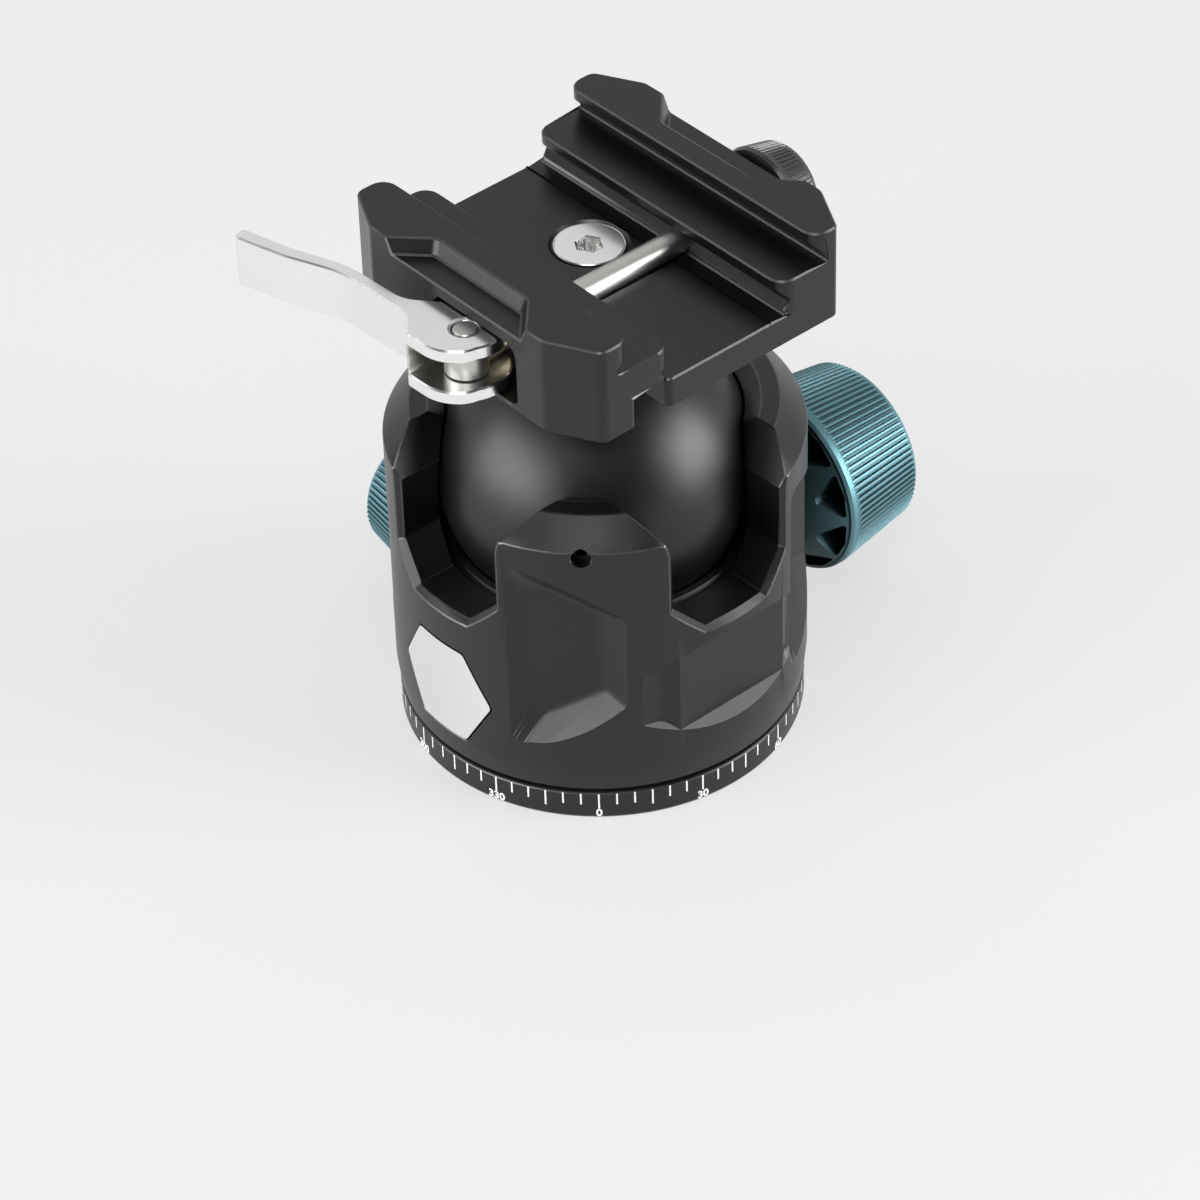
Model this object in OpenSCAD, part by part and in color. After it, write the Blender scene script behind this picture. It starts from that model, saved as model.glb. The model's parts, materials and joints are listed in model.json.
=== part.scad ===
// Tripod ball head with a panning base, a drop-notch housing and a two-level lever clamp.
// Origin: centre of the base underside. +Z up, main lock knob along +X, pan lock knob along +Y,
// drop notches towards -X and -Y.

/* [Base] */
// Diameter of the base disc that carries the degree scale
base_d = 70; // [66:0.5:71]
// Height of the base disc
base_h = 5.6; // [5:0.1:6.5]
// Gap between base disc and housing
pan_gap = 0.9; // [0.8:0.05:1.2]
// Bore of the tripod thread, three eighths of an inch, sixteen turns per inch
thread_d = 8; // [7.9:0.05:8.2]
// Depth of the tripod thread
thread_depth = 11; // [9:0.5:11]

/* [Housing] */
// Outside diameter of the housing
body_d = 71; // [70:0.5:74]
// Height of the housing rim above the floor
rim_z = 62.4; // [61:0.1:63]
// Height of the lower edge of the rim bevel
bevel_z = 57.7; // [56:0.1:58]
// Outside radius of the flat rim
rim_r = 31; // [30:0.1:32]
// Half width of a drop notch
notch_half = 11.85; // [11.6:0.05:12.5]
// Height of the notch floor
notch_z = 37.8; // [37:0.1:38]
// Width of the chamfer along the notch edges
notch_chamfer = 1.1; // [0.6:0.1:1.4]
// Distance of the pillar pocket floor from the axis
pocket_floor = 32; // [31:0.1:33]

/* [Ball] */
// Ball diameter
ball_d = 54; // [52:0.5:54]
// Height of the ball centre
ball_z = 49.6; // [49:0.1:50]
// Neck diameter
neck_d = 22.4; // [20:0.1:22.8]

/* [Knobs] */
// Height of the main lock knob axis
lock_z = 21.6; // [21:0.1:22]
// Main knob diameter at its inner end
lock_knob_d = 34.6; // [30:0.2:36]
// Main knob diameter at its outer end
lock_knob_end_d = 30.4; // [28:0.2:34]
// Height of the pan lock knob axis
pan_z = 16; // [15.5:0.1:16.5]
// Pan knob diameter at its inner end
pan_knob_d = 26.2; // [22:0.2:27]
// Pan knob diameter at its outer end
pan_knob_end_d = 23.6; // [20:0.2:25]

/* [Clamp] */
// Height of the clamp underside
clamp_z = 88.4; // [88.2:0.1:90]
// Thickness of the deck plate
deck_t = 5.6; // [5:0.1:6]
// Height of the plate seat above the deck
ledge_h = 6.3; // [6:0.1:7]
// Height of the upper lips above the plate seat
lip_h = 5.7; // [5:0.1:6]
// Length of the jaws
jaw_len = 60; // [58:0.5:62]
// Distance of the upper fixed lip from the axis
lip_x = 16; // [15.5:0.1:16.5]
// How far the movable jaw stands open at rest
jaw_open = 5.7; // [5.4:0.1:6]
// Draw rod diameter
rod_d = 4.5; // [4:0.1:4.6]
// Height of the lever's fork
lever_h = 10.5; // [10:0.1:10.6]

/* [Hidden] */
$fn = 96;

// Clearances: running fit of a shaft, and air between other moving faces
run = 0.05;
air = 0.3;
eps = 0.01;
big = 200;

base_r = base_d / 2;
body_r = body_d / 2;
body_z = base_h + pan_gap;
ball_r = ball_d / 2;
socket_r = ball_r + air;
neck_r = neck_d / 2;

// Lower taper band of the housing
band_top = body_z + 4.9;
band_r = body_r - 0.5;

// Rim lip that holds the ball down
lip_flat_r = 27.8;
lip_r = 24.9;
lip_drop = 1.7;

// Pan hub and the ring that holds it
hub_neck_r = 18;
hub_flange_r = 21;
hub_flange_z = base_h + 6.3;
hub_top_z = base_h + 12.3;
ring_z = body_z + 0.4;
ring_top_z = hub_flange_z - 0.4;
ring_r = socket_r - run;
ring_wall_in = 24.6;
base_screw_pcd_r = 13;
insert_r = 7;

// Ball seat: upper land and lower 45 degree cone
seat_r = socket_r - air;
seat_top_z = 37;
seat_land_r = 25.4;
seat_low_z = 23.5;
seat_low_r = 20;
seat_bore_r = 15;
seat_cone_z = seat_low_z + seat_r - seat_low_r;

// Lock mechanism along +X
bush_r = 8;
lock_shaft_r = 5;
lock_bush_in = socket_r + air;
lock_bush_out = 34.4;
lock_split_x = 31.4;
lock_hub_in = 36.3;
lock_hub_r = 8.6;
lock_knob_in = 43.1;
lock_knob_out = 61.8;
pusher_tip_x = 20.2;
pusher_cone_x = 23.6;

// Pan lock along +Y
pan_bush_r = 5.5;
pan_shaft_r = 3;
pan_bush_out = 34.9;
pan_split_y = 28.8;
pan_hub_in = 36.2;
pan_hub_r = 6.6;
pan_knob_in = 39.6;
pan_knob_out = 50.6;
shoe_tip_y = hub_flange_r + 0.4;

// Clamp levels
deck_z = clamp_z + deck_t;
ledge_z = deck_z + ledge_h;
top_z = ledge_z + lip_h;
jaw_mid_y = -6.3;
jaw_front = jaw_mid_y - jaw_len / 2;
jaw_back = jaw_mid_y + jaw_len / 2;
ledge_x = 8.8;
fixed_out = 26.1;
deck_left = -15.4;
lip_land = 2;
ledge_land = 1.8;
dovetail_foot = 0.9;
v_foot = 0.7;

// Movable jaw, at rest
jaw_lip_back = 1;
jaw_ledge_fore = 0.3;
jaw_lip_x = -lip_x - jaw_open - jaw_lip_back;
jaw_ledge_x = -ledge_x - jaw_open + jaw_ledge_fore;
jaw_out = -33.3;
jaw_block_x = -22;

// Finger pockets in the outer top edges of both jaws
pocket_drop = 2.8;
pocket_depth = 5.8;
pocket_half = 11.1;
pocket_slant = 1.05;
pocket_draft = 1;

// Draw rod, lever pin and cam
rod_y = -10.6;
rod_r = rod_d / 2;
rod_end_r = 2;
rod_z = deck_z + 1.2;
pin_x = -35;
pin_r = 2;
eye_r = 3.6;
tine_t = 2.45;
tine_gap = lever_h - 2 * tine_t;
lever_z = rod_z - lever_h / 2;
handle_step = 0.85;
cam_r = 7;
cam_dx = 1;
cam_dy = 0.9;
saddle_r = 6.3;
saddle_half_h = 5.2;
saddle_hollow_r = cam_r + 1.6;
window_floor = -26.6;
saddle_back = -25.7;
saddle_rim = -32;

// Guide pins and springs of the movable jaw
guide_r = 1.5;
guide_y = [14, -28];
guide_z = clamp_z + deck_t / 2;
guide_in = -9;
guide_out = -26;
spring_r = 2.1;
wire_r = 0.25;
spring_turns = 6;
spring_seat = -25;

// Tension knob
tension_in = 27.2;
tension_out = 34.7;
tension_d = 17.8;
tension_end_d = 15.6;

// Colours
black = [0.09, 0.09, 0.1];
teal = [0.22, 0.42, 0.48];
steel = [0.78, 0.78, 0.78];
brass = [0.75, 0.62, 0.33];
nylon = [0.85, 0.84, 0.8];
chrome = [0.9, 0.9, 0.92];

// Points of a polygon with rounded corners; each corner is [x, y, radius]
function unit(v) = v / norm(v);
function corner(a, b, c, r, steps) =
    r <= 0 ? [b] :
    let (
        u = unit(a - b),
        v = unit(c - b),
        half = acos(u * v) / 2,
        mid = b + unit(u + v) * r / sin(half),
        p = b + u * r / tan(half) - mid,
        q = b + v * r / tan(half) - mid,
        from = atan2(p[1], p[0]),
        turn = atan2(q[1], q[0]) - from,
        sweep = turn > 180 ? turn - 360 : turn < -180 ? turn + 360 : turn
    )
    [for (i = [0:steps]) mid + r * [cos(from + sweep * i / steps), sin(from + sweep * i / steps)]];
function xy(p) = [p[0], p[1]];
function rounded(pts, steps = 6) = [
    for (i = [0:len(pts) - 1])
        let (n = len(pts))
        each corner(xy(pts[(i + n - 1) % n]), xy(pts[i]), xy(pts[(i + 1) % n]), pts[i][2], steps)
];

// Prisms along the X and Y axes, from outlines in YZ and XZ
module prism_x(outline, x0, x1) {
    translate([x0, 0, 0])
        rotate([90, 0, 90])
            linear_extrude(height = x1 - x0)
                polygon(outline);
}
module prism_y(outline, y0, y1) {
    translate([0, y1, 0])
        rotate([90, 0, 0])
            linear_extrude(height = y1 - y0)
                polygon(outline);
}
module prism_z(outline, z0, z1) {
    translate([0, 0, z0])
        linear_extrude(height = z1 - z0)
            polygon(outline);
}
module rod_x(r, x0, x1, r_end = -1) {
    translate([x0, 0, 0])
        rotate([0, 90, 0])
            cylinder(r1 = r, r2 = r_end < 0 ? r : r_end, h = x1 - x0);
}
module rod_y_axis(r, y0, y1) {
    translate([0, y0, 0])
        rotate([-90, 0, 0])
            cylinder(r = r, h = y1 - y0);
}
module hex_socket(flats, depth) {
    cylinder(r = flats / sqrt(3), h = depth, $fn = 6);
}

// Solid through loops of the same length, each a list of 3D points
module loft(loops) {
    n = len(loops[0]);
    last = n * (len(loops) - 1);
    polyhedron(
        points = [for (loop = loops) each loop],
        faces = concat(
            [[for (i = [n - 1:-1:0]) i]],
            [[for (i = [0:n - 1]) last + i]],
            [for (k = [0:n:last - n], i = [0:n - 1])
                let (a = k + i, b = k + (i + 1) % n)
                each [[a, b, b + n], [a, b + n, a + n]]]
        )
    );
}

// Point at share s of a fillet that starts on the floor and ends on the wall from foot to rim
function fillet_point(foot, rim, reach, s) =
    let (
        out = rim - foot,
        start = foot - reach * unit([out[0], 0, out[2]]),
        end = foot + reach * unit(out)
    )
    pow(1 - s, 2) * start + 2 * s * (1 - s) * foot + s * s * end;

// Countersunk socket screw with its head flush at z = 0, pointing down
module flat_screw(r, head_r, length, socket) {
    head_h = head_r - r;
    land = 0.3;
    difference() {
        union() {
            translate([0, 0, -land])
                cylinder(r = head_r, h = land);
            translate([0, 0, -land - head_h])
                cylinder(r1 = r, r2 = head_r, h = head_h);
            translate([0, 0, -length])
                cylinder(r = r, h = length - land - head_h + eps);
        }
        translate([0, 0, -0.6 * head_r])
            hex_socket(socket, head_r);
    }
}
module flat_screw_hole(r, head_r, length, gap = run) {
    land = 0.3 + run;
    translate([0, 0, -land])
        cylinder(r = head_r + gap, h = big);
    translate([0, 0, -land - head_r + r])
        cylinder(r1 = r + run, r2 = head_r + run, h = head_r - r);
    translate([0, 0, -length - 0.5])
        cylinder(r = r + run, h = length);
}

// Base body
module at_base_screws() {
    for (a = [45:90:315])
        rotate([0, 0, a])
            translate([base_screw_pcd_r, 0, 0])
                rotate([180, 0, 0])
                    children();
}
module pan_base() {
    edge = 0.4;
    color(black)
        difference() {
            rotate_extrude()
                polygon([
                    [0, 0], [base_r - edge, 0], [base_r, edge],
                    [base_r, base_h - edge / 2], [base_r - edge / 2, base_h], [0, base_h]
                ]);
            translate([0, 0, -1])
                cylinder(r = insert_r, h = big);
            at_base_screws()
                flat_screw_hole(2, 4, 12);
        }
}
module thread_insert() {
    color(brass)
        difference() {
            cylinder(r = insert_r - eps, h = thread_depth);
            translate([0, 0, -1])
                cylinder(d = thread_d, h = thread_depth + 2);
        }
}
module pan_hub() {
    color(steel)
        difference() {
            union() {
                translate([0, 0, base_h])
                    cylinder(r = hub_neck_r, h = hub_top_z - base_h);
                translate([0, 0, hub_flange_z])
                    cylinder(r = hub_flange_r, h = hub_top_z - hub_flange_z);
            }
            translate([0, 0, base_h - 1])
                cylinder(r = insert_r, h = thread_depth - base_h + 1);
            at_base_screws()
                flat_screw_hole(2, 4, 12);
        }
}
module base_screws() {
    color(steel)
        at_base_screws()
            flat_screw(2, 4, 12, 2.5);
}
module pan_washer() {
    color(nylon)
        translate([0, 0, base_h])
            difference() {
                cylinder(r = base_r - 1.8, h = 0.5);
                translate([0, 0, -1])
                    cylinder(r = hub_neck_r + 1, h = 3);
            }
}

// Housing: surface distance from the axis plane for a place s across and z up
function surface_r(z) =
    z <= bevel_z ? body_r : body_r - (z - bevel_z) * (body_r - rim_r) / (rim_z - bevel_z);
function surface_d(s, z) = sqrt(pow(surface_r(z), 2) - s * s);

// Right half of the notch outline, from the middle of the floor up, as [across, height]
notch_flat = 6.2;
notch_flare_z = 55.6;
notch_flare = 0.66;
notch_over = 1.6;
flare_chamfer = 0.4;
function notch_side() = [
    [notch_flat / 2, notch_z],
    [notch_flat, notch_z],
    [notch_half, notch_z + notch_half - notch_flat],
    [notch_half, notch_flare_z],
    [notch_half + notch_flare * (bevel_z - notch_flare_z), bevel_z],
    [notch_half + notch_flare * (rim_z + notch_over - notch_flare_z), rim_z + notch_over]
];
function notch_path() =
    let (half = notch_side(), n = len(half))
    concat(
        [for (i = [n - 1:-1:0]) [-half[i][0], half[i][1]]],
        [[0, notch_z]],
        half
    );
function path_normal(p, i) =
    let (
        n = len(p),
        a = i == 0 ? p[0] : p[i - 1],
        b = i == n - 1 ? p[n - 1] : p[i + 1],
        t = unit(b - a)
    )
    [t[1], -t[0]];

// Chamfer strip that follows the notch edge over the round outside
module notch_chamfer_strip() {
    path = notch_path();
    n = len(path);
    over = 0.8;
    ring = [
        for (i = [0:n - 1])
            let (
                p = path[i],
                cut = p[1] < bevel_z ? notch_chamfer : flare_chamfer,
                out = p + path_normal(path, i) * (cut + over),
                back = p - path_normal(path, i) * 0.2,
                d = surface_d(p[0], min(p[1], rim_z)),
                d_out = surface_d(out[0], min(out[1], rim_z))
            )
            [
                [p[0], -d + cut, p[1]],
                [out[0], -d_out - over, out[1]],
                [back[0], -d - over - 1, back[1]]
            ]
    ];
    points = [for (r = ring) each r];
    sides = [
        for (i = [0:n - 2], k = [0:2])
            let (a = 3 * i + k, b = 3 * i + (k + 1) % 3)
            each [[a, b, b + 3], [a, b + 3, a + 3]]
    ];
    polyhedron(points = points, faces = concat([[2, 1, 0]], sides, [[3 * n - 3, 3 * n - 2, 3 * n - 1]]));
}
module notch() {
    prism_y(notch_path(), -body_r - 2, 0);
    notch_chamfer_strip();
}

// Drafted pocket on a pillar, wide edge towards the notch on its left
module pillar_pocket() {
    mid_z = 34.3;
    outer = rounded([
        [-12.9, mid_z - 19.9, 2.2], [7, mid_z - 9.7, 2.2], [7, mid_z + 9.7, 2.2], [-12.9, mid_z + 19.9, 2.2]
    ]);
    floor_loop = rounded([
        [-9.9, mid_z - 14.5, 2.5], [2.9, mid_z - 7.7, 2.5], [2.9, mid_z + 8.7, 2.5], [-9.9, mid_z + 15.5, 2.5]
    ]);
    over = 0.6;
    reach = 1.6;
    steps = 4;
    foot = [for (p = floor_loop) [p[0], -pocket_floor, p[1]]];
    rim = [for (i = [0:len(outer) - 1])
        let (
            stretch = (body_r + over - pocket_floor) / (surface_d(outer[i][0], mid_z) - pocket_floor),
            p = floor_loop[i] + (outer[i] - floor_loop[i]) * stretch
        )
        [p[0], -body_r - over, p[1]]];
    loft(concat(
        [rim],
        [for (k = [steps:-1:0]) [for (i = [0:len(foot) - 1]) fillet_point(foot[i], rim[i], reach, k / steps)]]
    ));
}

// Bare label recess under the right notch: flat face, sloped top and bottom, V grooves at the sides
module label_recess() {
    face_d = 33.57;
    face_half = 11.6;
    groove_half = 17.5;
    low_z = 15.7;
    high_z = 35.1;
    valley = 13.7;
    valley_d = 31.47;
    valley_round = 4;
    edge_d = sqrt(body_r * body_r - groove_half * groove_half);
    out_d = body_r + 1;
    deep_d = 28;
    end_low = low_z + body_r - edge_d;
    end_high = high_z - body_r + edge_d;
    end_round = 1.8;
    shoulder = face_half + 1;
    shoulder_rise = 3;
    intersection() {
        prism_z(rounded([
            [-groove_half, -edge_d, 0], [-valley, -valley_d, valley_round], [-face_half, -face_d, 0],
            [face_half, -face_d, 0], [valley, -valley_d, valley_round], [groove_half, -edge_d, 0],
            [groove_half, -out_d, 0], [-groove_half, -out_d, 0]
        ]), low_z - 2, high_z + 2);
        prism_x([
            [-out_d, low_z + body_r - out_d], [-out_d, high_z + out_d - body_r],
            [-deep_d, high_z + deep_d - body_r], [-deep_d, low_z + body_r - deep_d]
        ], -groove_half - 1, groove_half + 1);
        prism_y(rounded([
            [-groove_half, end_low, end_round], [-shoulder, end_low - shoulder_rise, 0], [-shoulder, low_z - 2, 0],
            [shoulder, low_z - 2, 0], [shoulder, end_low - shoulder_rise, 0], [groove_half, end_low, end_round],
            [groove_half, end_high, end_round], [shoulder, end_high + shoulder_rise, 0], [shoulder, high_z + 2, 0],
            [-shoulder, high_z + 2, 0], [-shoulder, end_high + shoulder_rise, 0], [-groove_half, end_high, end_round]
        ]), -out_d, -deep_d);
    }
}

// Hexagonal plate, points to the sides, flush with the round outside
hex_r = 10.8;
hex_z = 20.7;
hex_back = 33;
module hex_prism(r, x0, x1) {
    prism_x(rounded([for (a = [0:60:300]) [r * cos(a), hex_z + r * sin(a), 1.2]]), x0, x1);
}

// Grub screw in the front pillar
grub_z = 56.6;
grub_r = 1.6;
module at_grub() {
    rotate([0, 0, -45])
        translate([0, 0, grub_z])
            rotate([90, 0, 0])
                children();
}

module housing() {
    lock_hole_in = 20;
    color(black)
        difference() {
            rotate_extrude()
                polygon([
                    [socket_r, body_z], [band_r, body_z], [body_r, band_top], [body_r, bevel_z],
                    [rim_r, rim_z], [lip_flat_r, rim_z], [lip_r, rim_z - lip_drop],
                    [lip_r, ball_z], [socket_r, ball_z]
                ]);
            translate([0, 0, ball_z])
                sphere(r = socket_r);
            for (a = [-90, 0])
                rotate([0, 0, a])
                    notch();
            for (a = [-135, -45, 45])
                rotate([0, 0, a])
                    pillar_pocket();
            label_recess();
            hex_prism(hex_r + 0.3, -body_r - 1, -hex_back);
            at_grub()
                translate([0, 0, lip_r - 2])
                    cylinder(r = grub_r + run, h = big);
            translate([0, 0, lock_z])
                rod_x(bush_r, lock_hole_in, big);
            translate([0, 0, pan_z])
                rod_y_axis(pan_bush_r, lock_hole_in, big);
        }
}
module bearing_ring() {
    cone_gap = 0.5;
    color(steel)
        difference() {
            rotate_extrude()
                polygon([
                    [hub_neck_r + run, ring_z], [ring_r, ring_z],
                    [ring_r, seat_cone_z - cone_gap + ring_r - seat_r],
                    [ring_wall_in, seat_cone_z - cone_gap + ring_wall_in - seat_r],
                    [ring_wall_in, ring_top_z], [hub_neck_r + run, ring_top_z]
                ]);
            translate([0, 0, lock_z])
                rod_x(lock_shaft_r + 0.4, 10, big);
            translate([0, 0, pan_z])
                rod_y_axis(pan_shaft_r + 0.4, 10, big);
        }
}
module hex_plate() {
    color(chrome)
        intersection() {
            hex_prism(hex_r, -body_r - 1, -hex_back);
            cylinder(r = body_r - eps, h = big, $fn = 192);
        }
}
module grub_screw() {
    tail = 28.6;
    head = 33.2;
    color(steel)
        at_grub()
            difference() {
                translate([0, 0, tail])
                    cylinder(r = grub_r, h = head - tail);
                translate([0, 0, head - 2])
                    hex_socket(2, 4);
            }
}
module lock_bushing() {
    color(steel)
        translate([0, 0, lock_z])
            difference() {
                rod_x(bush_r - eps, lock_bush_in, lock_bush_out);
                rod_x(lock_shaft_r + run, 0, big);
            }
}
module pan_bushing() {
    color(steel)
        translate([0, 0, pan_z])
            difference() {
                rod_y_axis(pan_bush_r - eps, lock_bush_in, pan_bush_out);
                rod_y_axis(pan_shaft_r + run, 0, big);
            }
}

// Ball and seat
module ball_seat() {
    color(black)
        difference() {
            rotate_extrude()
                polygon([
                    [seat_bore_r, seat_low_z], [seat_low_r, seat_low_z], [seat_r, seat_cone_z],
                    [seat_r, seat_top_z - (seat_r - seat_land_r)], [seat_land_r, seat_top_z],
                    [seat_bore_r, seat_top_z]
                ]);
            translate([0, 0, ball_z])
                sphere(r = socket_r);
        }
}
module ball() {
    color(black)
        difference() {
            union() {
                translate([0, 0, ball_z])
                    sphere(r = ball_r);
                translate([0, 0, ball_z])
                    cylinder(r = neck_r, h = clamp_z - air - ball_z);
            }
            translate([0, 0, 70])
                cylinder(r = 3 + run, h = big);
        }
}

// Ridged, tapered knob blank along +Z with its wide end at z = 0
function ridge_ring(r, depth, count) = [
    for (i = [0:count - 1], k = [[-0.32, 0], [0.02, 0], [0.18, 1], [0.5, 1]])
        let (a = 360 / count * (i + k[0]))
        (r - depth * k[1]) * [cos(a), sin(a)]
];
module ridged_knob(d, end_d, length, count, depth, band) {
    cap = 1.3;
    lap = 0.5;
    run_out = 1.2;
    r = d / 2 - run;
    root = end_d / 2 - depth - run;
    rotate_extrude()
        polygon([
            [0, 0], [r - 0.9, 0], [r - 0.3, 0.2], [r, 0.8], [r, band],
            [r - depth - run, band + run_out], [0, band + run_out]
        ]);
    translate([0, 0, band])
        linear_extrude(height = length - band - cap, scale = end_d / d)
            polygon(ridge_ring(d / 2, depth, count));
    translate([0, 0, length - cap])
        rotate_extrude()
            polygon([
                [0, -lap], [root - run, -lap], [root, 0],
                [root - 0.3 * cap, 0.65 * cap], [root - cap, cap], [0, cap]
            ]);
}

// Triangular pockets between the web rays, points towards the hub
module web_pockets(count, turn, half, r_in, r_out, z0, z1, taper) {
    for (i = [0:count - 1])
        rotate([0, 0, turn + 360 / count * i])
            translate([0, 0, z0])
                linear_extrude(height = z1 - z0, scale = taper)
                    polygon(rounded([
                        [r_in, -0.6, 0.5], [r_out * cos(half), -r_out * sin(half), 0.5],
                        [r_out / cos(half / 2), 0, 3], [r_out * cos(half), r_out * sin(half), 0.5],
                        [r_in, 0.6, 0.5]
                    ], 4));
}
module lock_knob() {
    length = lock_knob_out - lock_knob_in;
    hub_h = lock_knob_in - lock_hub_in;
    face_r = lock_knob_d / 2 - 0.8;
    color(teal)
        translate([lock_knob_in, 0, lock_z])
            rotate([0, 90, 0])
                difference() {
                    union() {
                        ridged_knob(lock_knob_d, lock_knob_end_d, length, 90, 0.4, 1.8);
                        translate([0, 0, -hub_h])
                            cylinder(r1 = lock_hub_r, r2 = face_r, h = hub_h + eps);
                    }
                    web_pockets(10, -1.8, 16.4, 12.8, 17.2, -hub_h, 9, 0.875);
                    translate([0, 0, -hub_h - 1])
                        cylinder(r = 4 + eps, h = hub_h + length - 5);
                    translate([0, 0, length])
                        flat_screw_hole(2, 4, 12);
                }
}
module lock_spindle() {
    shoulder = lock_knob_in + 0.4;
    color(steel)
        translate([0, 0, lock_z])
            difference() {
                union() {
                    rod_x(lock_shaft_r, lock_split_x + air, lock_hub_in);
                    rod_x(4, lock_hub_in - eps, lock_knob_out - 6.2);
                }
                rod_x(2 + run, shoulder + 4, big);
            }
}
module lock_knob_screw() {
    color(steel)
        translate([lock_knob_out, 0, lock_z])
            rotate([0, 90, 0])
                flat_screw(2, 4, 12, 2.5);
}
module lock_pusher() {
    tip_r = lock_shaft_r - (pusher_cone_x - pusher_tip_x);
    color(steel)
        translate([0, 0, lock_z]) {
            rod_x(tip_r, pusher_tip_x, pusher_cone_x, lock_shaft_r);
            rod_x(lock_shaft_r, pusher_cone_x - eps, lock_split_x);
        }
}
module pan_knob() {
    length = pan_knob_out - pan_knob_in;
    hub_h = pan_knob_in - pan_hub_in;
    face_r = pan_knob_d / 2 - 0.7;
    color(teal)
        translate([0, pan_knob_in, pan_z])
            rotate([-90, 0, 0])
                difference() {
                    union() {
                        ridged_knob(pan_knob_d, pan_knob_end_d, length, 70, 0.35, 1.3);
                        translate([0, 0, -hub_h])
                            cylinder(r1 = pan_hub_r, r2 = face_r, h = hub_h + eps);
                    }
                    translate([0, 0, -hub_h - 1])
                        cylinder(r = 2.5 + eps, h = hub_h + length - 3);
                    translate([0, 0, length])
                        flat_screw_hole(1.5, 3, 8);
                }
}
module pan_spindle() {
    color(steel)
        translate([0, 0, pan_z])
            difference() {
                union() {
                    rod_y_axis(pan_shaft_r, pan_split_y + air, pan_hub_in);
                    rod_y_axis(2.5, pan_hub_in - eps, pan_knob_out - 4.2);
                }
                rod_y_axis(1.5 + run, pan_knob_in + 1.5, big);
            }
}
module pan_knob_screw() {
    color(steel)
        translate([0, pan_knob_out, pan_z])
            rotate([-90, 0, 0])
                flat_screw(1.5, 3, 8, 2);
}
module pan_shoe() {
    color(brass)
        translate([0, 0, pan_z])
            rod_y_axis(pan_shaft_r, shoe_tip_y, pan_split_y);
}

// Outline of a fixed jaw layer whose inner edge is at x, with slanted outer corners
function jaw_outline(x, inner_r) = [
    [x, jaw_front, inner_r], [21, jaw_front, 1.5], [fixed_out, jaw_front + 9.2, 3.5],
    [fixed_out, jaw_back - 8.6, 2.5], [21.6, jaw_back, 2], [x, jaw_back, inner_r]
];
// Outline of a movable jaw layer
function slider_outline(x, inner_r) = [
    [x, jaw_front, inner_r], [x, jaw_back, inner_r], [jaw_out + 4.6, jaw_back, 2],
    [jaw_out, jaw_back - 9, 2.5], [jaw_out, jaw_front + 9, 2.5], [jaw_out + 4.6, jaw_front, 2]
];
// Channel sections in XZ, open towards -X; mirrored for the movable jaw
function v_section(x) = [
    [x - 2, deck_z - eps], [x + 1, deck_z - eps], [x + 1, deck_z + v_foot],
    [x + 2.4, deck_z + v_foot + 1.4], [x, ledge_z - ledge_land], [x - 2, ledge_z - ledge_land]
];
function dovetail_section(x) = [
    [x - 1, ledge_z], [x + lip_h - lip_land - dovetail_foot, ledge_z],
    [x + lip_h - lip_land - dovetail_foot, ledge_z + dovetail_foot],
    [x, top_z - lip_land], [x - 1, top_z - lip_land]
];
function flipped(section) = [for (i = [len(section) - 1:-1:0]) [-section[i][0], section[i][1]]];

// Drafted finger pocket in the top edge of a jaw whose outer face is at x = outside
module finger_pocket(outside) {
    past = 3;
    over = 1;
    x_in = outside - pocket_depth;
    x_end = outside + past;
    widen = pocket_slant * (x_end - x_in);
    end_draft = pocket_draft * norm([1, pocket_slant]);
    corner_draft = end_draft - pocket_slant * pocket_draft;
    top = rounded([
        [x_in, jaw_mid_y - pocket_half, 2.2], [x_in, jaw_mid_y + pocket_half, 2.2],
        [x_end, jaw_mid_y + pocket_half + widen, 0], [x_end, jaw_mid_y - pocket_half - widen, 0]
    ]);
    floor_half = pocket_half - corner_draft;
    floor_wide = pocket_half + widen - end_draft;
    floor_loop = rounded([
        [x_in + pocket_draft, jaw_mid_y - floor_half, 1.8], [x_in + pocket_draft, jaw_mid_y + floor_half, 1.8],
        [x_end, jaw_mid_y + floor_wide, 0], [x_end, jaw_mid_y - floor_wide, 0]
    ]);
    stretch = (pocket_drop + over) / pocket_drop;
    loft([
        [for (p = floor_loop) [p[0], p[1], top_z - pocket_drop]],
        [for (i = [0:len(top) - 1])
            let (p = floor_loop[i] + (top[i] - floor_loop[i]) * stretch)
            [p[0], p[1], top_z + over]]
    ]);
}

module clamp_base() {
    past = 5;
    groove_gap = 0.3;
    color(black)
        difference() {
            union() {
                prism_z(rounded(jaw_outline(deck_left, 1.2)), clamp_z, deck_z);
                prism_z(rounded(jaw_outline(ledge_x, 3)), deck_z - eps, ledge_z);
                prism_z(rounded(jaw_outline(lip_x, 3)), ledge_z - eps, top_z);
            }
            prism_y(v_section(ledge_x), jaw_front - past, jaw_back + past);
            prism_y(dovetail_section(lip_x), jaw_front - past, jaw_back + past);
            finger_pocket(fixed_out);
            translate([0, rod_y, rod_z]) {
                rod_x(rod_r + groove_gap, deck_left - past, ledge_x + 1);
                rod_x(rod_r + run, ledge_x, big);
            }
            translate([0, 0, deck_z])
                flat_screw_hole(3, 6, 22, 0.45);
            for (y = guide_y)
                translate([0, y, guide_z])
                    rod_x(guide_r + eps, deck_left - past, guide_in + 0.5);
        }
}
module clamp_screw() {
    color(steel)
        translate([0, 0, deck_z - 0.1])
            flat_screw(3, 5.95, 22, 4);
}
module guide_pins() {
    color(steel)
        for (y = guide_y)
            translate([0, y, guide_z])
                rod_x(guide_r, guide_out, guide_in);
}

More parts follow.
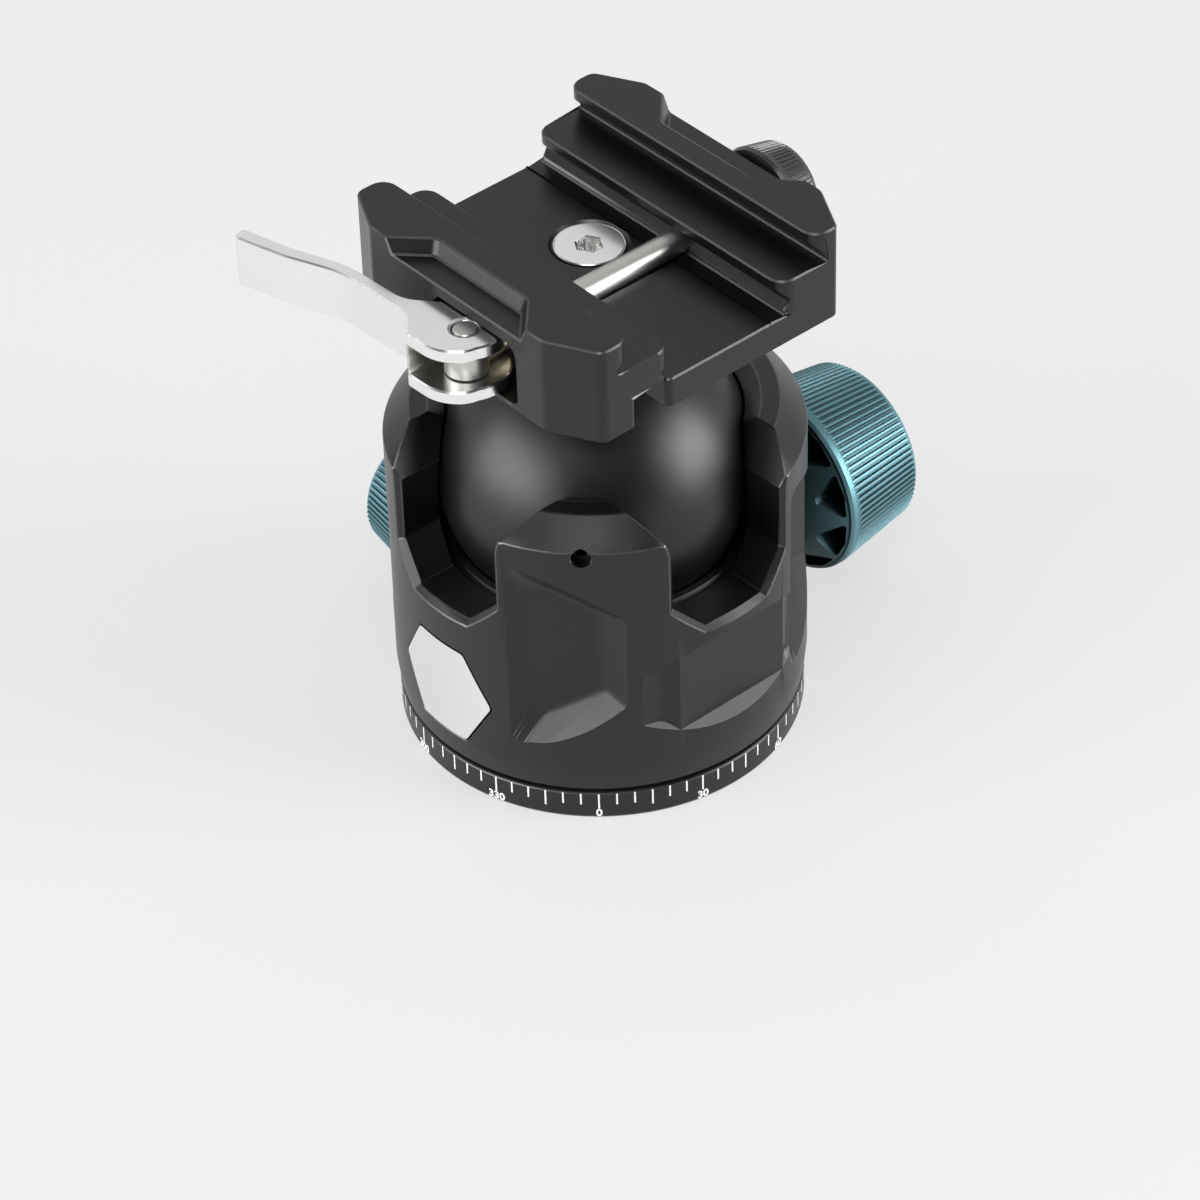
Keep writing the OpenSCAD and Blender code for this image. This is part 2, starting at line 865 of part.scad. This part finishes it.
// Compression springs, each one round tube swept along a helix
function helix(t) = [
    spring_seat + 0.4 + (deck_left - spring_seat - 0.8) * t,
    spring_r * cos(360 * spring_turns * t),
    spring_r * sin(360 * spring_turns * t)
];
module spring() {
    rings = 8 * spring_turns;
    sides = 6;
    points = [
        for (i = [0:rings], k = [0:sides - 1])
            let (
                c = helix(i / rings),
                out = unit([0, c[1], c[2]]),
                a = 360 / sides * k
            )
            c + wire_r * (cos(a) * out + sin(a) * [1, 0, 0])
    ];
    skin = [
        for (i = [0:rings - 1], k = [0:sides - 1])
            let (a = sides * i + k, b = sides * i + (k + 1) % sides)
            each [[a, b, b + sides], [a, b + sides, a + sides]]
    ];
    polyhedron(
        points = points,
        faces = concat(
            [[for (k = [sides - 1:-1:0]) k]],
            skin,
            [[for (k = [0:sides - 1]) sides * rings + k]]
        )
    );
}
module jaw_springs() {
    color(steel)
        for (y = guide_y)
            translate([0, y, guide_z])
                spring();
}
module draw_rod() {
    step_x = 15.5;
    end_x = 29.6;
    eye_h = tine_gap - 2 * air;
    color(steel)
        difference() {
            union() {
                translate([0, rod_y, rod_z]) {
                    rod_x(rod_r, pin_x, step_x);
                    rod_x(rod_end_r, step_x - eps, end_x);
                }
                translate([pin_x, rod_y, rod_z - eye_h / 2])
                    cylinder(r = eye_r, h = eye_h);
            }
            translate([pin_x, rod_y, 0])
                cylinder(r = pin_r + eps, h = big);
        }
}
module lever_pin() {
    color(steel)
        translate([pin_x, rod_y, lever_z + 0.2])
            cylinder(r = pin_r, h = lever_h - 0.3);
}

module jaw() {
    past = 5;
    window_low = rod_z - 5.9;
    window_high = rod_z + 5.65;
    window = rounded([
        [-20.6, window_low, 1.6], [-0.8, window_low, 1.6], [-0.8, window_high, 1.6], [-20.6, window_high, 2.6]
    ]);
    color(black)
        difference() {
            union() {
                prism_z(rounded(slider_outline(jaw_block_x, 1)), clamp_z, deck_z + air + eps);
                prism_z(rounded(slider_outline(jaw_ledge_x, 3)), deck_z + air, ledge_z);
                prism_z(rounded(slider_outline(jaw_lip_x, 3)), ledge_z - eps, top_z);
            }
            prism_y(flipped(v_section(-jaw_ledge_x)), jaw_front - past, jaw_back + past);
            prism_y(flipped(dovetail_section(-jaw_lip_x)), jaw_front - past, jaw_back + past);
            mirror([1, 0, 0])
                finger_pocket(-jaw_out);
            prism_x(window, jaw_out - past, window_floor);
            saddle_block(run, window_floor - 1);
            translate([0, rod_y, rod_z])
                rod_x(rod_r + run, window_floor - 1, 0);
            for (y = guide_y)
                translate([0, y, guide_z]) {
                    rod_x(guide_r + run, guide_out - jaw_open, 0);
                    rod_x(spring_r + wire_r + 0.25, spring_seat, 0);
                }
        }
}
// Round block with flats above and below; more is the clearance added all round
module saddle_block(more, x0) {
    half = saddle_half_h + more;
    intersection() {
        translate([0, rod_y, rod_z])
            rod_x(saddle_r + more, x0, saddle_back);
        translate([x0 - 1, rod_y - saddle_r - 1, rod_z - half])
            cube([saddle_back - x0 + 2, 2 * saddle_r + 2, 2 * half]);
    }
}
module saddle_washer() {
    color(brass)
        difference() {
            saddle_block(0, saddle_rim);
            translate([pin_x - 0.1, rod_y + cam_dy, 0])
                cylinder(r = saddle_hollow_r, h = big);
            translate([0, rod_y, rod_z])
                rod_x(rod_r + run, saddle_rim - 1, 0);
        }
}

// Lever seen from above: cam end, fork shoulder and a handle that curves away from the jaw
lever_outline = [
    [-32, -4, 0], [-37, 2, 6], [-37.6, 15, 22], [-41.4, 25.2, 14], [-43.7, 34.6, 1.1],
    [-46.4, 34.2, 1.2], [-43.6, 23.8, 12], [-39.8, 14.4, 20], [-39.2, -1.4, 1.4],
    [-42.7, -5.3, 1.4], [-42.5, -11.8, 7.6], [-39.2, -15.8, 5.4], [-33.6, -16.3, 0.6]
];
module lever() {
    chamfer = 0.45;
    handle_y = -2.4;
    color(steel)
        difference() {
            union() {
                prism_z(rounded(lever_outline), lever_z, lever_z + lever_h);
                translate([pin_x + cam_dx, rod_y + cam_dy, lever_z])
                    cylinder(r = cam_r, h = lever_h);
            }
            translate([pin_x, rod_y, lever_z - 1])
                cylinder(r = pin_r + run, h = big);
            translate([pin_x, rod_y, lever_z + lever_h - chamfer])
                cylinder(r1 = pin_r + run, r2 = pin_r + run + chamfer, h = chamfer + eps);
            prism_z(rounded([
                [-25, -21, 0], [-25, -3.4, 0], [-36.2, -4.2, 1], [-44, -5.4, 0], [-44, -21, 0]
            ]), lever_z + tine_t, lever_z + lever_h - tine_t);
            translate([-60, handle_y, lever_z - 1])
                cube([40, 60, handle_step + 1]);
        }
}

// Tension knob and its nut
module tension_knob() {
    length = tension_out - tension_in;
    color(black)
        translate([tension_in, rod_y, rod_z])
            rotate([0, 90, 0])
                difference() {
                    ridged_knob(tension_d, tension_end_d, length, 64, 0.32, 0.8);
                    translate([0, 0, -1])
                        cylinder(r = 4 + eps, h = big);
                    translate([0, 0, -1])
                        cylinder(r = 7, h = 2.2);
                }
}
module tension_nut() {
    collar_r = 5;
    color(steel)
        translate([0, rod_y, rod_z])
            difference() {
                union() {
                    rod_x(collar_r, fixed_out + air, tension_in + 1.2);
                    rod_x(4, tension_in, tension_out - 0.6);
                }
                rod_x(rod_end_r + run, 0, big);
            }
}

pan_base();
thread_insert();
pan_hub();
base_screws();
pan_washer();
housing();
bearing_ring();
hex_plate();
grub_screw();
lock_bushing();
pan_bushing();
ball_seat();
ball();
lock_knob();
lock_spindle();
lock_knob_screw();
lock_pusher();
pan_knob();
pan_spindle();
pan_knob_screw();
pan_shoe();
clamp_base();
clamp_screw();
guide_pins();
jaw_springs();
draw_rod();
lever_pin();
jaw();
saddle_washer();
lever();
tension_knob();
tension_nut();
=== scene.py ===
import json
import math

import bpy
import bmesh
from mathutils import Matrix, Vector


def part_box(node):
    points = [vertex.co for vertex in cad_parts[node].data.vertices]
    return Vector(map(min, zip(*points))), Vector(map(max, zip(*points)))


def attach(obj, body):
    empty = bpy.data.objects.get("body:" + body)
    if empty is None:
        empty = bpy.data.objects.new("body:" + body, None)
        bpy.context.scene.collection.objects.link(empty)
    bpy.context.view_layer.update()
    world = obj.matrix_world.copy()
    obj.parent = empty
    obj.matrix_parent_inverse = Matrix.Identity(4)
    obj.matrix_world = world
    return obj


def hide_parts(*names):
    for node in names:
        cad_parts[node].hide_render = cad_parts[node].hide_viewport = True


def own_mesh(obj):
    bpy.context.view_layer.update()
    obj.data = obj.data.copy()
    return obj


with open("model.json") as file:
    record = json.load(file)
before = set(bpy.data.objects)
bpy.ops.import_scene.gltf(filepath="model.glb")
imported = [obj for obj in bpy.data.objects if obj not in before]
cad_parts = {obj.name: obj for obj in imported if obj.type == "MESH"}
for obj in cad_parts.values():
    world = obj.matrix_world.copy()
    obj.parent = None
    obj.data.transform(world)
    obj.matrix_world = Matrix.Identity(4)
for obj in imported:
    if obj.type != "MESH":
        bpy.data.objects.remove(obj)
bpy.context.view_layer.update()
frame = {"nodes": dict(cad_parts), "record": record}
nodes = frame["nodes"]

MM = 0.001


# Helpers for directions, meshes and pieces
def direction(bearing, elevation):
    """Unit vector at a bearing from -Y towards +X and at an elevation, both in degrees."""
    a, e = math.radians(bearing), math.radians(elevation)
    return Vector((math.sin(a) * math.cos(e), -math.cos(a) * math.cos(e), math.sin(e)))


def take_mesh(bm, name):
    mesh = bpy.data.meshes.new(name)
    bm.to_mesh(mesh)
    bm.free()
    return mesh


def link_piece(name, mesh, body, materials):
    for material in materials:
        mesh.materials.append(MATERIALS[material])
    piece = bpy.data.objects.new(name, mesh)
    bpy.context.scene.collection.objects.link(piece)
    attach(piece, body)
    return piece


# Camera of the photograph, about the centre of the base's upper edge
CAM_TARGET = Vector((0.0, 0.0, 5.6 * MM))
CAM_BEARING = -40.127
CAM_ELEVATION = 40.251
CAM_DISTANCE = 868.0 * MM
CAM_ROLL = math.radians(-1.791)
CAM_PAN = -0.0000869
CAM_PITCH = 0.0117886
CAM_LENS = 150.0
CAM_SENSOR = 36.0
CAM_NEAR = 0.01
CAM_FAR = 50.0


def add_camera():
    up_axis = Vector((0, 0, 1))
    back = direction(CAM_BEARING, CAM_ELEVATION)
    right = (-back).cross(up_axis).normalized()
    up = right.cross(-back)
    look = (-back + CAM_PAN * right + CAM_PITCH * up).normalized()
    right = look.cross(up_axis).normalized()
    up = right.cross(look)
    c, s = math.cos(CAM_ROLL), math.sin(CAM_ROLL)
    side, top = c * right + s * up, c * up - s * right
    place = CAM_TARGET + CAM_DISTANCE * back
    data = bpy.data.cameras.new("photo_camera")
    data.sensor_fit = "HORIZONTAL"
    data.sensor_width = CAM_SENSOR
    data.lens = CAM_LENS
    data.clip_start = CAM_NEAR
    data.clip_end = CAM_FAR
    cam = bpy.data.objects.new("photo_camera", data)
    cam.matrix_world = Matrix((
        (side.x, top.x, -look.x, place.x),
        (side.y, top.y, -look.y, place.y),
        (side.z, top.z, -look.z, place.z),
        (0, 0, 0, 1),
    ))
    bpy.context.scene.collection.objects.link(cam)
    bpy.context.scene.camera = cam


# Materials: fine grain in colour and relief, slow patches in roughness, painted shade in cavities
# where asked
MATERIALS = {}
GRAIN_DEPTH = 0.01 * MM
GRAIN_DETAIL = 3.0
PATCH_SCALE = 60.0
PATCH_DETAIL = 2.0
PATCH_SHARE = 0.07
NOISE_LOW = 0.3
NOISE_HIGH = 0.7
# Painted shade: the occlusion factor is raised to this power before it darkens a colour
CAVITY_SHADE_POWER = 2.2
ALONG_Y = (1.0, 12.0, 1.0)


def new_material(name):
    mat = bpy.data.materials.new(name)
    mat.use_nodes = True
    return mat, mat.node_tree.nodes, mat.node_tree.links, mat.node_tree.nodes["Principled BSDF"]


def link_math(tree_nodes, links, operation, first, second):
    """Math node fed by a socket, and by a second socket or a number."""
    node = tree_nodes.new("ShaderNodeMath")
    node.operation = operation
    links.new(first, node.inputs[0])
    if isinstance(second, bpy.types.NodeSocket):
        links.new(second, node.inputs[1])
    else:
        node.inputs[1].default_value = second
    return node.outputs["Value"]


def noise(tree_nodes, links, scale, detail, stretch=None):
    coord = tree_nodes.new("ShaderNodeTexCoord")
    tex = tree_nodes.new("ShaderNodeTexNoise")
    tex.inputs["Scale"].default_value = scale
    tex.inputs["Detail"].default_value = detail
    if stretch:
        mapping = tree_nodes.new("ShaderNodeMapping")
        mapping.inputs["Scale"].default_value = stretch
        links.new(coord.outputs["Object"], mapping.inputs["Vector"])
        links.new(mapping.outputs["Vector"], tex.inputs["Vector"])
    else:
        links.new(coord.outputs["Object"], tex.inputs["Vector"])
    return tex.outputs["Fac"]


def spread(tree_nodes, links, value, low, high):
    band = tree_nodes.new("ShaderNodeMapRange")
    band.inputs["From Min"].default_value = NOISE_LOW
    band.inputs["From Max"].default_value = NOISE_HIGH
    band.inputs["To Min"].default_value = low
    band.inputs["To Max"].default_value = high
    links.new(value, band.inputs["Value"])
    return band.outputs["Result"]


def grained_color(tree_nodes, links, grain, color, tint):
    ramp = tree_nodes.new("ShaderNodeValToRGB")
    dark, light = ramp.color_ramp.elements
    dark.position = NOISE_LOW
    light.position = NOISE_HIGH
    dark.color = [c * (1 - tint) for c in color] + [1]
    light.color = [min(1, c * (1 + tint)) for c in color] + [1]
    links.new(grain, ramp.inputs["Fac"])
    return ramp.outputs["Color"]


def dim_cavities(tree_nodes, links, color, depth):
    """The colour with painted shade: darker inside cavities of about that depth."""
    shade = tree_nodes.new("ShaderNodeAmbientOcclusion")
    shade.inputs["Distance"].default_value = depth
    level = link_math(tree_nodes, links, "POWER", shade.outputs["AO"], CAVITY_SHADE_POWER)
    dim = tree_nodes.new("ShaderNodeVectorMath")
    dim.operation = "SCALE"
    links.new(color, dim.inputs[0])
    links.new(level, dim.inputs["Scale"])
    return dim.outputs["Vector"]


def add_relief(tree_nodes, links, height, bsdf, strength):
    node = tree_nodes.new("ShaderNodeBump")
    node.inputs["Strength"].default_value = strength
    node.inputs["Distance"].default_value = GRAIN_DEPTH
    links.new(height, node.inputs["Height"])
    links.new(node.outputs["Normal"], bsdf.inputs["Normal"])


def metal(
    name, color, rough, metallic=0.0, grain_scale=3000.0, grain=0.1,
    stretch=None, specular=0.5, tint=0.06, cavity_shade_depth=None,
):
    """Metal or a coat with fine grain, and painted shade darkening its colour in cavities of that
    depth where one is given.
    """
    mat, tree_nodes, links, bsdf = new_material(name)
    bsdf.inputs["Metallic"].default_value = metallic
    bsdf.inputs["Specular IOR Level"].default_value = specular
    fine = noise(tree_nodes, links, grain_scale, GRAIN_DETAIL, stretch)
    slow = noise(tree_nodes, links, PATCH_SCALE, PATCH_DETAIL)
    smoothest, roughest = rough * (1 - PATCH_SHARE), rough * (1 + PATCH_SHARE)
    links.new(spread(tree_nodes, links, slow, smoothest, roughest), bsdf.inputs["Roughness"])
    shown = grained_color(tree_nodes, links, fine, color, tint)
    if cavity_shade_depth:
        shown = dim_cavities(tree_nodes, links, shown, cavity_shade_depth)
    links.new(shown, bsdf.inputs["Base Color"])
    add_relief(tree_nodes, links, fine, bsdf, grain)
    MATERIALS[name] = mat


metal("black_anodised", (0.005, 0.005, 0.0051), 0.37, grain=0.9, specular=0.45, tint=0.35)
metal("black_satin", (0.004, 0.004, 0.0041), 0.33, grain=0.35, specular=0.45, tint=0.2)
metal("knurled_black", (0.02, 0.02, 0.021), 0.3, grain=0.2, specular=0.8, tint=0.2)
metal("ball_coat", (0.0015, 0.0015, 0.0016), 0.4, grain=0.6, specular=0.49, tint=0.25)
# The teal knob gets painted shade: its colour is darkened inside the web and pockets, where the
# housing keeps light out
metal(
    "teal_anodised", (0.13, 0.28, 0.32), 0.5, metallic=0.8, grain_scale=4000.0, grain=0.15,
    specular=0.8, cavity_shade_depth=16 * MM,
)
metal(
    "steel", (0.6, 0.59, 0.57), 0.36, metallic=1.0, grain_scale=1500.0, grain=0.03,
    stretch=ALONG_Y,
)
metal(
    "lever_steel", (0.90, 0.90, 0.89), 0.22, metallic=1.0, grain_scale=1500.0, grain=0.03,
    stretch=ALONG_Y,
)
metal("black_steel", (0.012, 0.012, 0.012), 0.35, grain_scale=4000.0)
metal("plain_aluminium", (0.6, 0.6, 0.61), 0.3, metallic=1.0, grain=0.08)
metal("polished", (0.90, 0.90, 0.91), 0.14, metallic=1.0, grain_scale=900.0, grain=0.0, tint=0.0)
metal("brass", (0.80, 0.72, 0.50), 0.3, metallic=1.0, grain=0.08)
metal("nylon", (0.72, 0.71, 0.68), 0.5, grain_scale=2000.0)
metal("black_polymer", (0.008, 0.008, 0.008), 0.45)
metal("black_edge", (0.10, 0.10, 0.104), 0.38, metallic=1.0, grain_scale=4000.0)
metal("scale_paint", (0.78, 0.78, 0.76), 0.55, grain_scale=8000.0)

# Nodes that look different from the rest of their slot
NODE_MATERIALS = {
    "lever": "lever_steel",
    "clamp_screw": "lever_steel",
    "clamp_base": "black_satin",
    "jaw": "black_satin",
    "tension_knob": "knurled_black",
}

slots = {part["node"]: part["material_slot"] for part in frame["record"]["subparts"]}
for name, obj in nodes.items():
    obj.data.materials.clear()
    obj.data.materials.append(MATERIALS[NODE_MATERIALS.get(name, slots[name])])


# Machined edges: a small chamfer along every sharp edge of these nodes
EDGES = {
    "pan_base": 0.2 * MM,
    "clamp_base": 0.28 * MM,
    "jaw": 0.28 * MM,
    "lever": 0.28 * MM,
    "clamp_screw": 0.25 * MM,
    "saddle_washer": 0.3 * MM,
    "lever_pin": 0.2 * MM,
}
EDGE_MATERIALS = {"black_anodised": "black_edge"}
WELD_GAP = 0.0005 * MM
FLAT_ANGLE = math.radians(0.3)
SHARP_ANGLE = math.radians(30)
CRISP_ANGLE = math.radians(22)
NORMAL_WEIGHT = 80


def smooth_faces(obj, marked=False):
    """Round faces shade smoothly. Edges over CRISP_ANGLE, or marked ones, stay crisp."""
    crisp = obj.modifiers.new("crisp", "EDGE_SPLIT")
    crisp.split_angle = CRISP_ANGLE
    crisp.use_edge_angle = not marked
    crisp.use_edge_sharp = marked
    smooth = obj.modifiers.new("smooth", "WEIGHTED_NORMAL")
    smooth.keep_sharp = False
    smooth.weight = NORMAL_WEIGHT


def soften_edges(obj, width, edge_material):
    weld = obj.modifiers.new("weld", "WELD")
    weld.merge_threshold = WELD_GAP
    flat = obj.modifiers.new("flat_faces", "DECIMATE")
    flat.decimate_type = "DISSOLVE"
    flat.angle_limit = FLAT_ANGLE
    edge = obj.modifiers.new("edge", "BEVEL")
    edge.width = width
    edge.segments = 1
    edge.limit_method = "ANGLE"
    edge.angle_limit = SHARP_ANGLE
    edge.use_clamp_overlap = False
    if edge_material:
        obj.data.materials.append(edge_material)
        edge.material = 1
    smooth_faces(obj)


for name, width in EDGES.items():
    edge_slot = EDGE_MATERIALS.get(slots[name])
    soften_edges(nodes[name], width, MATERIALS[edge_slot] if edge_slot else None)
smooth_faces(nodes["hex_plate"])


# Housing skin: the housing with a thin chamfer on its machined edges and none inside its recesses
HOUSING_CHAMFER = 0.18 * MM
RECESS_BACK = 30.5 * MM
RECESS_SKIN = 0.15 * MM
# A recess has a bearing and a span: left, right, low and high, seen from outside
POCKET_SPAN = (-13.5 * MM, 8 * MM, 13 * MM, 56 * MM)
LABEL_SPAN = (-18 * MM, 18 * MM, 13 * MM, 38 * MM)
POCKETS = [(-135, POCKET_SPAN), (-45, POCKET_SPAN), (45, POCKET_SPAN)]
LABEL = [(0, LABEL_SPAN)]
POCKET_ANGLE = math.radians(48)
SKIN_MATERIALS = ["black_anodised", "black_edge"]


def in_recess(at, radius, recesses):
    """True on the walls and floor of one of the recesses."""
    if math.hypot(at.x, at.y) > radius - RECESS_SKIN:
        return False
    for bearing, (left, right, low, high) in recesses:
        a = math.radians(bearing)
        across = at.x * math.cos(a) + at.y * math.sin(a)
        out = at.x * math.sin(a) - at.y * math.cos(a)
        if out > RECESS_BACK and left < across < right and low < at.z < high:
            return True
    return False


def recess_faces(bm, radius, recesses):
    return {face for face in bm.faces if in_recess(face.calc_center_median(), radius, recesses)}


def housing_skin():
    bm = bmesh.new()
    bm.from_mesh(nodes["housing"].data)
    bmesh.ops.remove_doubles(bm, verts=bm.verts, dist=WELD_GAP)
    bmesh.ops.dissolve_limit(bm, angle_limit=FLAT_ANGLE, verts=bm.verts, edges=bm.edges)
    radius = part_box("housing")[1].y
    inside = recess_faces(bm, radius, POCKETS + LABEL)
    sharp = [
        edge for edge in bm.edges
        if edge.calc_face_angle(0) > SHARP_ANGLE and not inside.intersection(edge.link_faces)
    ]
    for face in bm.faces:
        face.material_index = 0
    bmesh.ops.bevel(
        bm, geom=sharp, offset=HOUSING_CHAMFER, offset_type="OFFSET", segments=1,
        profile=0.5, affect="EDGES", clamp_overlap=False, material=1,
    )
    pocket_faces = recess_faces(bm, radius, POCKETS)
    for edge in bm.edges:
        limit = POCKET_ANGLE if pocket_faces.issuperset(edge.link_faces) else CRISP_ANGLE
        edge.smooth = edge.calc_face_angle(0) < limit
    return take_mesh(bm, "housing_skin")


skin = link_piece("housing_skin", housing_skin(), "housing", SKIN_MATERIALS)
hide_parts("housing")
smooth_faces(skin, marked=True)


coils = link_piece("spring_coils", nodes["jaw_springs"].data.copy(), "clamp", [])
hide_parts("jaw_springs")
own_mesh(coils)


# Degree scale: painted marks and numbers wrapped round the base disc, from the zero mark's bearing
SCALE_ZERO = -42.25
SCALE_STEP = 5
SCALE_LONG_EVERY = 15
SCALE_NUMBER_EVERY = 30
SHORT_MARK = 2.3 * MM
LONG_MARK = 3.15 * MM
MARK_WIDTH = 0.3 * MM
MARK_TOP_GAP = 0.25 * MM
NUMBER_HEIGHT = 1.55 * MM
NUMBER_DROP = 4.4 * MM
NUMBER_BOLD = 0.07 * MM
NUMBER_STEPS = 4
FONT_CAP_SHARE = 0.72
PAINT_LIFT = 0.02 * MM
PAINT_DEPTH = 0.1 * MM


def wrap(radius, top_z, across, drop, bearing):
    """Point on the disc's side: across to the right and drop below its top, seen from outside."""
    a = math.radians(bearing) + across / radius
    return Vector((radius * math.sin(a), -radius * math.cos(a), top_z - drop))


def scale_marks(radius, top_z):
    bm = bmesh.new()
    outer = radius + PAINT_LIFT
    for k in range(0, 360, SCALE_STEP):
        length = LONG_MARK if k % SCALE_LONG_EVERY == 0 else SHORT_MARK
        low, high = MARK_TOP_GAP + length, MARK_TOP_GAP
        corners = [(-1, low), (1, low), (1, high), (-1, high)]
        verts = []
        for r in (outer - PAINT_DEPTH, outer):
            for side, drop in corners:
                at = wrap(r, top_z, side * MARK_WIDTH / 2, drop, SCALE_ZERO + k)
                verts.append(bm.verts.new(at))
        bm.faces.new(verts[4:])
        bm.faces.new(reversed(verts[:4]))
        for i in range(4):
            j = (i + 1) % 4
            bm.faces.new((verts[i], verts[j], verts[4 + j], verts[4 + i]))
    return take_mesh(bm, "scale_marks")


def number_mesh(text):
    curve = bpy.data.curves.new("number", "FONT")
    curve.body = text
    curve.align_x = "CENTER"
    curve.align_y = "CENTER"
    curve.size = NUMBER_HEIGHT / FONT_CAP_SHARE
    curve.extrude = PAINT_DEPTH / 2
    curve.offset = NUMBER_BOLD
    curve.resolution_u = NUMBER_STEPS
    holder = bpy.data.objects.new("number", curve)
    bpy.context.scene.collection.objects.link(holder)
    solid = holder.evaluated_get(bpy.context.evaluated_depsgraph_get())
    mesh = bpy.data.meshes.new_from_object(solid)
    bpy.data.objects.remove(holder)
    bpy.data.curves.remove(curve)
    return mesh


def scale_numbers(radius, top_z):
    bm = bmesh.new()
    middle = radius + PAINT_LIFT - PAINT_DEPTH / 2
    for k in range(0, 360, SCALE_NUMBER_EVERY):
        flat = number_mesh(str(k))
        first = len(bm.verts)
        bm.from_mesh(flat)
        bm.verts.ensure_lookup_table()
        for v in bm.verts[first:]:
            v.co = wrap(middle + v.co.z, top_z, v.co.x, NUMBER_DROP - v.co.y, SCALE_ZERO + k)
        bpy.data.meshes.remove(flat)
    return take_mesh(bm, "scale_numbers")


base_low, base_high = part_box("pan_base")
base_radius = (base_high.x - base_low.x) / 2
link_piece("scale_marks", scale_marks(base_radius, base_high.z), "base", ["scale_paint"])
link_piece("scale_numbers", scale_numbers(base_radius, base_high.z), "base", ["scale_paint"])


# Floor and light
FLOOR_HALF = 6.0
PAPER = (0.74, 0.74, 0.74)
PAPER_SHOWN = (0.87, 0.87, 0.872)
PAPER_ROUGH = 0.95
SHADOW_SHARE = 0.34
FAR_BEARING = 140
NEAR_EDGE = -0.35
FAR_EDGE = 0.45
NEAR_LEVEL = 0.06
FAR_LEVEL = 0.72
LIGHT_TARGET = Vector((0, 0, 60 * MM))
LIGHT_DISTANCE = 1.3


def floor_material():
    """Plain paper that shows an even tone to the eye and to mirrors, with a light shadow kept."""
    mat, tree_nodes, links, bsdf = new_material("paper")
    bsdf.inputs["Base Color"].default_value = PAPER + (1,)
    bsdf.inputs["Roughness"].default_value = PAPER_ROUGH
    bsdf.inputs["Specular IOR Level"].default_value = 0.0
    glow = tree_nodes.new("ShaderNodeEmission")
    glow.inputs["Color"].default_value = PAPER_SHOWN + (1,)
    glow.inputs["Strength"].default_value = 1.0
    path = tree_nodes.new("ShaderNodeLightPath").outputs
    seen = link_math(tree_nodes, links, "MAXIMUM", path["Is Camera Ray"], path["Is Glossy Ray"])
    seen = link_math(tree_nodes, links, "MAXIMUM", seen, path["Is Transmission Ray"])
    share = link_math(tree_nodes, links, "MULTIPLY", seen, 1 - SHADOW_SHARE)
    mix = tree_nodes.new("ShaderNodeMixShader")
    links.new(share, mix.inputs["Fac"])
    links.new(bsdf.outputs["BSDF"], mix.inputs[1])
    links.new(glow.outputs["Emission"], mix.inputs[2])
    links.new(mix.outputs["Shader"], tree_nodes["Material Output"].inputs["Surface"])
    return mat


def add_floor():
    mesh = bpy.data.meshes.new("floor")
    corners = [(-1, -1), (1, -1), (1, 1), (-1, 1)]
    mesh.from_pydata([(x * FLOOR_HALF, y * FLOOR_HALF, 0) for x, y in corners], [], [(0, 1, 2, 3)])
    mesh.materials.append(floor_material())
    floor = bpy.data.objects.new("floor", mesh)
    bpy.context.scene.collection.objects.link(floor)


def add_world():
    """Room light: dim on the viewer's side, pale on the far side."""
    world = bpy.data.worlds.new("studio")
    bpy.context.scene.world = world
    world.use_nodes = True
    tree_nodes, links = world.node_tree.nodes, world.node_tree.links
    back = tree_nodes["Background"]
    coord = tree_nodes.new("ShaderNodeTexCoord")
    toward = tree_nodes.new("ShaderNodeVectorMath")
    toward.operation = "DOT_PRODUCT"
    toward.inputs[1].default_value = direction(FAR_BEARING, 0)
    links.new(coord.outputs["Generated"], toward.inputs[0])
    level = tree_nodes.new("ShaderNodeMapRange")
    level.interpolation_type = "SMOOTHSTEP"
    level.inputs["From Min"].default_value = NEAR_EDGE
    level.inputs["From Max"].default_value = FAR_EDGE
    level.inputs["To Min"].default_value = NEAR_LEVEL
    level.inputs["To Max"].default_value = FAR_LEVEL
    links.new(toward.outputs["Value"], level.inputs["Value"])
    back.inputs["Color"].default_value = (1, 1, 1, 1)
    links.new(level.outputs["Result"], back.inputs["Strength"])


def softbox(name, bearing, elevation, width, height, power):
    place = LIGHT_TARGET + LIGHT_DISTANCE * direction(bearing, elevation)
    data = bpy.data.lights.new(name, "AREA")
    data.shape = "RECTANGLE"
    data.size = width
    data.size_y = height
    data.energy = power
    light = bpy.data.objects.new(name, data)
    light.location = place
    light.rotation_euler = (LIGHT_TARGET - place).to_track_quat("-Z", "Y").to_euler()
    bpy.context.scene.collection.objects.link(light)


add_camera()
add_floor()
add_world()
softbox("left_box", bearing=-104, elevation=9, width=1.3, height=1.0, power=31.0)
softbox("right_box", bearing=38, elevation=16, width=0.8, height=0.75, power=21.0)
softbox("front_box", bearing=-48, elevation=52, width=0.6, height=0.6, power=4.5)

bpy.context.scene.view_settings.view_transform = "Standard"
